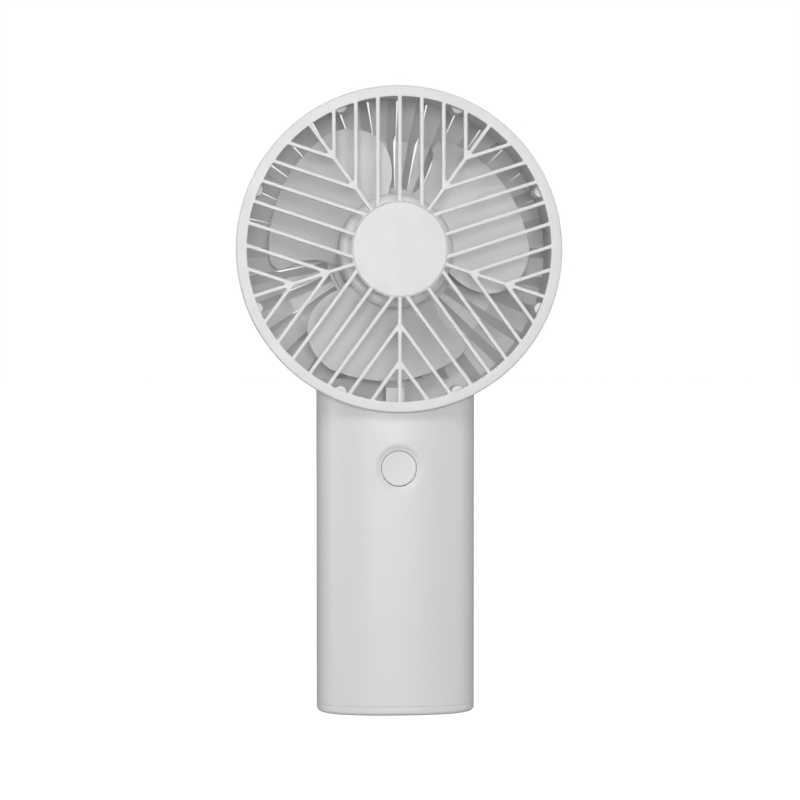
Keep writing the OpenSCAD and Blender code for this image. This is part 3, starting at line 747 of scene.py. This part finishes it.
def make_housing():
    shape = Shape()
    shape.add_head(*lathe([
        (DUCT_IN, RIM_BACK), (DUCT_OUT, RIM_BACK),
        (DUCT_OUT, wall_back(DUCT_OUT)),
        (SLOT_R1, wall_back(SLOT_R1)), (SLOT_R1, SLOT_FRONT), (DUCT_IN, SLOT_FRONT)
    ], 320))
    for k in range(VANES):
        shape.add_head(*vane(k))
    shape.add_head(*lathe([
        (MOUNT_BORE_R, MOUNT_FRONT), (MOUNT_R, MOUNT_FRONT), (MOUNT_R, VANE_FRONT), (SLOT_R0, VANE_FRONT),
        (SLOT_R0, BACK_Z), (REAR_RECESS_R, BACK_Z), (REAR_RECESS_R, BACK_Z + 1), (MOUNT_BORE_R, BACK_Z + 1)
    ]))
    shape.add_head(*shelf())
    for place in post_places(SOCKET_ORBIT):
        shape.add_head(*lathe([
            (0, RIM_BACK - 0.05), (SOCKET_R, RIM_BACK - 0.05), (SOCKET_R, RIM_BACK - SOCKET_LEN),
            (0, RIM_BACK - SOCKET_LEN)
        ], 32, False, place))
    add_channel(shape)
    shape.add(*neck())
    piece("housing", shape, "base", "white_shell", ["fan_housing"], bevel=0.22)


def add_channel(shape):
    """The solid strip of the rear wall under the motor leads, with its two side walls."""
    reach = arc_steps(MOUNT_R - 0.5, CONE_R, 4) + arc_steps(CONE_BACK_R, SHELF_Y + 0.4, 2)
    verts = []
    for r in reach:
        front, back = wall_front(r) - 0.04, wall_back(r) + 0.04
        verts += [(-3.5, -r, front), (3.5, -r, front), (3.5, -r, back), (-3.5, -r, back)]
    rows = len(reach)
    ends = [list(range(4)), list(range(4 * rows - 1, 4 * rows - 5, -1))]
    shape.add_head(verts, band(rows, 4) + ends)
    for x0, x1 in ((-3.4, -2.5), (2.5, 3.4)):
        corners = []
        for z in (VANE_FRONT - 1, -11.2):
            corners += [(x0, -MOUNT_R + 0.5, z), (x1, -MOUNT_R + 0.5, z), (x1, -36.0, z), (x0, -36.0, z)]
        sides = [(0, 1, 2, 3), (7, 6, 5, 4), (0, 4, 5, 1), (1, 5, 6, 2), (2, 6, 7, 3), (3, 7, 4, 0)]
        shape.add_head(corners, sides)


def make_rear_cap():
    cap = Shape()
    cap.add_head(*lathe([
        (0, BACK_Z), (13.7, BACK_Z), (14.0, BACK_Z + 0.12), (14.1, BACK_Z + 0.4),
        (14.1, BACK_Z + 0.95), (0, BACK_Z + 0.95)
    ], closed=False))
    piece("rear_cap", cap, "base", "white_shell", ["rear_hub_cap"])


# ---------- impeller ----------


def rounding(r, start, tip):
    """0 at the start radius, growing along a quarter ellipse to 1 at the tip."""
    return 1 - math.sqrt(max(0, 1 - ((r - start) / (tip - start)) ** 2))


def trail_at(r):
    """Angle of a blade's trailing edge at radius r, in degrees."""
    if r > TRAIL_BEND_R:
        return TRAIL_A + TRAIL_SWEEP * rounding(r, TRAIL_BEND_R, TRAIL_TIP)
    return TRAIL_A + TRAIL_CURVE * (TRAIL_BEND_R - r) ** 2


def lead_at(r):
    """Angle of a blade's leading edge at radius r, in degrees."""
    if r > LEAD_BEND_R:
        return LEAD_A - LEAD_SWEEP * rounding(r, LEAD_BEND_R, LEAD_TIP)
    curve = LEAD_CURVE_IN if r < LEAD_BULGE_R else LEAD_CURVE_OUT
    return LEAD_A - LEAD_BULGE + curve * (LEAD_BULGE_R - r) ** 2


def blade_point(u, v, side):
    """u runs from the leading to the trailing edge, v from the hub to the tip."""
    tip = LEAD_TIP + (TRAIL_TIP - LEAD_TIP) * u
    root = HUB_R - 0.6
    r = root + v * (tip - root)
    a = lead_at(min(r, LEAD_TIP)) * (1 - u) + trail_at(r) * u
    share = (LEAD_A - a) / (LEAD_A - TRAIL_A)
    thick = BLADE_T * (0.35 + 0.65 * math.sin(math.pi * u)) * (1 - 0.35 * v)
    z = LEAD_Z + RISE * (share + 0.1 * math.sin(math.pi * share))
    a = math.radians(a)
    return (r * math.cos(a), r * math.sin(a), z + side * thick / 2)


def blade():
    """A twisted blade with soft edges: two skins joined by a rounded rim."""
    across, along = 44, 26
    verts = []
    for side in (1, -1):
        for i in range(across + 1):
            for j in range(along + 1):
                verts.append(blade_point(i / across, 1 - (1 - j / along) ** 1.7, side))
    return verts, two_skins(across + 1, along + 1)


def make_impeller():
    shape = Shape()
    edge = arc((HUB_R - 1.5, HUB_FRONT - 1.5), 1.5, 0, 90, 6)
    shape.add_head(*lathe(
        [(HUB_R - 1.6, HUB_BACK), (HUB_R - 0.25, HUB_BACK), (HUB_R, HUB_BACK + 0.25)] + edge
        + [(0, HUB_FRONT), (0, HUB_FRONT - 1.6), (HUB_R - 1.6, HUB_FRONT - 1.6)], 160))
    blades, faces = blade()
    for k in range(BLADES):
        shape.add_head([turned(p, k * math.radians(360 / BLADES)) for p in blades], faces)
    piece("fan_wheel", shape, "rotor", "impeller_plastic", ["impeller"], bevel=0.16)


# ---------- handle ----------


def oval(a, b, count=96):
    """Points round the handle's outline."""
    out = []
    for i in range(count):
        t = 2 * math.pi * i / count
        c, s = math.cos(t), math.sin(t)
        out.append((
            math.copysign(a * abs(c) ** (2 / POWER), c), math.copysign(b * abs(s) ** (2 / POWER), s)
        ))
    return out


def depth_at(x, inset):
    """Half thickness of the handle's outline at x."""
    a, b = HALF_W - inset, HALF_T - inset
    return b * max(0.0, 1 - min(1.0, abs(x) / a) ** POWER) ** (1 / POWER)


def dish_at(r):
    q = min(1.0, max(0.0, (r - HOLE_R) / (DISH_R - HOLE_R)))
    return DISH_DEPTH * (0.5 + 0.5 * math.cos(math.pi * q))


def shell_top(x):
    return AXIS_Z - math.sqrt((DUCT_OUT + 0.1) ** 2 - x * x)


def side_lines(start, count):
    """Abscissas from start out to the handle's side, closer together where it curves."""
    t0 = math.acos((start / HALF_W) ** (POWER / 2))
    return [HALF_W * math.cos(t) ** (2 / POWER) for t in arc_steps(t0, 0, count)]


def front_sheet():
    """The front shell's skin as (x, z) points with a round hole, and its faces.

    A square patch round the button, n quads a side, is meshed by rings instead of rows.
    """
    patch, n = 9.0, 16
    xs_mid = arc_steps(-patch, patch, n)
    right = side_lines(patch, 22)[1:]
    xs = [-x for x in reversed(right)] + xs_mid + right
    z_low = arc_steps(SHELL_Z0, BUTTON_Z - patch, 14)
    z_mid = arc_steps(BUTTON_Z - patch, BUTTON_Z + patch, n)
    rows = z_low + z_mid[1:]
    points, index, faces = [], {}, []
    top_rows = 6
    total = len(rows) + top_rows
    for j, x in enumerate(xs):
        for i in range(total):
            if i < len(rows):
                z = rows[i]
            else:
                z = rows[-1] + (shell_top(x) - rows[-1]) * (i - len(rows) + 1) / top_rows
            index[i, j] = len(points)
            points.append((x, z))
    j0, i0 = len(right), len(z_low) - 1
    for i in range(total - 1):
        for j in range(len(xs) - 1):
            if i0 <= i < i0 + n and j0 <= j < j0 + n:
                continue
            faces.append((index[i, j], index[i, j + 1], index[i + 1, j + 1], index[i + 1, j]))
    square = [index[i0 + k, j0 + n] for k in range(n)] + [index[i0 + n, j0 + n - k] for k in range(n)]
    square += [index[i0 + n - k, j0] for k in range(n)] + [index[i0, j0 + k] for k in range(n)]
    radii = [HOLE_R, 4.75, 5.0, 5.25, 5.5, 5.75, 6.0, 6.3, 6.8, 7.6]
    rings = []
    for r in radii:
        ring = []
        for k in range(4 * n):
            a = -math.pi / 4 + 2 * math.pi * k / (4 * n)
            ring.append(len(points))
            points.append((r * math.cos(a), BUTTON_Z + r * math.sin(a)))
        rings.append(ring)
    rings.append(square)
    for near, far in zip(rings, rings[1:]):
        for k in range(4 * n):
            m = (k + 1) % (4 * n)
            faces.append((near[k], far[k], far[m], near[m]))
    return points, faces


def thick_sheet(points, faces, side, place):
    """A closed shell from a sheet: its outer and inner skins, and walls along its borders."""
    count = len(points)
    verts = [place(x, z, 0.0, side) for x, z in points] + [place(x, z, WALL, side) for x, z in points]
    used = {}
    for face in faces:
        for a, b in zip(face, face[1:] + face[:1]):
            used[a, b] = used.get((a, b), 0) + 1
    out = list(faces) + [tuple(reversed([i + count for i in f])) for f in faces]
    for a, b in used:
        if (b, a) not in used:
            out.append((b, a, a + count, b + count))
    return verts, out


def place_front(x, z, inset, side):
    """A sheet's point on the front shell. The inner skin, and the hole in it, are narrower in x."""
    scale = (HALF_W - inset) / HALF_W
    dish = 0.0 if inset else dish_at(math.hypot(x, z - BUTTON_Z))
    y = side * (depth_at(x * scale, inset) - dish)
    return (x * scale, y + side * SKIN_LIFT, z)


def place_rear(x, z, inset, side):
    scale = (HALF_W - inset) / HALF_W
    return (x * scale, side * (depth_at(x * scale, inset) + SKIN_LIFT), z)


def rear_sheet():
    right = side_lines(2.0, 30)[1:]
    xs = [-x for x in reversed(right)] + [-2.0, 0.0, 2.0] + right
    rows = 40
    points = []
    for i in range(rows + 1):
        points += [(x, SHELL_Z0 + (shell_top(x) - SHELL_Z0) * i / rows) for x in xs]
    return points, band(rows + 1, len(xs), closed_columns=False)


def drill(obj, cutters):
    """Cuts round pockets along +Y: each cutter is (x, z, radius, y from, y to)."""
    sides = 40
    for x, z, radius, y0, y1 in cutters:
        cutter = bmesh.new()
        rings = []
        loop = circle_loop(radius, sides, (x, z))
        for y in (y0, y1):
            ring = [cutter.verts.new((v[0] * MM, y * MM, v[1] * MM)) for v in loop]
            cutter.faces.new(ring)
            rings.append(ring)
        for k in range(sides):
            m = (k + 1) % sides
            cutter.faces.new((rings[0][k], rings[0][m], rings[1][m], rings[1][k]))
        bmesh.ops.recalc_face_normals(cutter, faces=cutter.faces)
        mesh = bpy.data.meshes.new("cutter")
        cutter.to_mesh(mesh)
        cutter.free()
        tool = bpy.data.objects.new("cutter", mesh)
        bpy.context.scene.collection.objects.link(tool)
        cut = obj.modifiers.new("cut", "BOOLEAN")
        cut.operation = "DIFFERENCE"
        cut.solver = "EXACT"
        cut.object = tool
        bpy.context.view_layer.update()
        done = bpy.data.meshes.new_from_object(obj.evaluated_get(bpy.context.evaluated_depsgraph_get()))
        obj.modifiers.clear()
        obj.data = done
        bpy.data.objects.remove(tool)
        bpy.data.meshes.remove(mesh)


def make_handle():
    front = Shape()
    front.add(*thick_sheet(*front_sheet(), -1, place_front))
    piece("front_shell", front, "base", "white_shell", ["handle_front_shell"], bevel=0.12, sharp=55)
    rear = Shape()
    rear.add(*thick_sheet(*rear_sheet(), 1, place_rear))
    obj = piece("rear_shell", rear, "base", "white_shell", ["handle_rear_shell"], sharp=55)
    obj.modifiers.clear()
    seat = high("neck_screws", 1) - 0.8
    drill(obj, [(s * LUG_X, LUG_Z, LUG_POCKET_R, seat, HALF_T + 5) for s in (-1, 1)])
    for p in obj.data.polygons:
        p.use_smooth = True
    soften(obj, 0.1, 2, 55)
    normals = obj.modifiers.new("normals", "WEIGHTED_NORMAL")
    normals.keep_sharp = True


def stadium(half, radius, count=16):
    """Outline of a slot with round ends: half the distance of their centres, and their radius."""
    angles = arc_steps(-math.pi / 2, math.pi / 2, count)
    right = [(half + radius * math.cos(a), radius * math.sin(a)) for a in angles]
    return right + [(-x, -y) for x, y in right]


def make_bottom_cap():
    shape = Shape()
    post_x = high("cap_screws", 0) - 1.8
    post_y = (high("cap_screws", 1) + low("cap_screws", 1)) / 2
    holes = [stadium(PORT_HALF, PORT_R)]
    holes += [circle_loop(CAP_HOLE_R, 40, (s * post_x, post_y)) for s in (-1, 1)]
    shape.add(*plate(oval(HALF_W, HALF_T, 160), holes, 0.0, SHELL_Z0 - 0.03, 1.0, [0.15] * 3, 6))
    rim = []
    outer, inner, foot = WALL + 0.15, WALL + 1.35, SHELL_Z0 - 0.3
    for inset, z in ((outer, foot), (outer, CAP_RIM_TOP), (inner, CAP_RIM_TOP), (inner, foot)):
        rim += [(x, y, z) for x, y in oval(HALF_W - inset, HALF_T - inset, 96)]
    shape.add(rim, band(4, 96, closed_rows=True))
    piece("base_cap", shape, "base", "white_shell", ["bottom_cap"], sharp=50)


def make_button():
    shape = Shape()
    face = -BUTTON_FACE
    back = -high("button", 1)
    flange_r, flange_front, flange_back, stem_r = BUTTON_R + 0.9, face - 1.6, face - 2.05, 1.2
    rows = [(0, face - 0.1), (1.5, face - 0.09), (3.0, face - 0.05), (BUTTON_R - 0.45, face - 0.01)]
    rows += arc((BUTTON_R - 0.3, face - 0.3), 0.3, 90, 0, 4)
    rows += [(BUTTON_R, flange_front), (flange_r, flange_front), (flange_r, flange_back)]
    rows += [(stem_r, flange_back), (stem_r, back), (0, back)]
    verts, faces = lathe(rows, 96, closed=False)
    shape.add([(x, -z, BUTTON_Z + y) for x, y, z in verts], faces)
    piece("push_button", shape, "button_body", "white_shell", ["button"], sharp=50)


# ---------- nodes kept from the CAD ----------


def finish_cad_nodes(replaced):
    """Every CAD node that stays gets its slot's material, and soft edges where it shows."""
    slots = {s["node"]: s["material_slot"] for s in frame["record"]["subparts"]}
    for name, obj in frame["nodes"].items():
        if name in replaced:
            continue
        for s in obj.material_slots:
            s.material = MATERIALS[slots[name]]
    cover = frame["nodes"]["wire_cover"]
    weld = cover.modifiers.new("weld", "WELD")
    weld.merge_threshold = 1e-6
    soften(cover, 0.2, 3, 30)


make_camera()
make_studio()
make_floor()
MATERIALS = make_materials()
make_grille()
make_guard_cap()
make_housing()
make_rear_cap()
make_impeller()
make_handle()
make_bottom_cap()
make_button()
finish_cad_nodes({
    "front_grille", "grille_cap", "fan_housing", "rear_hub_cap", "impeller", "handle_front_shell",
    "handle_rear_shell", "bottom_cap", "button"
})
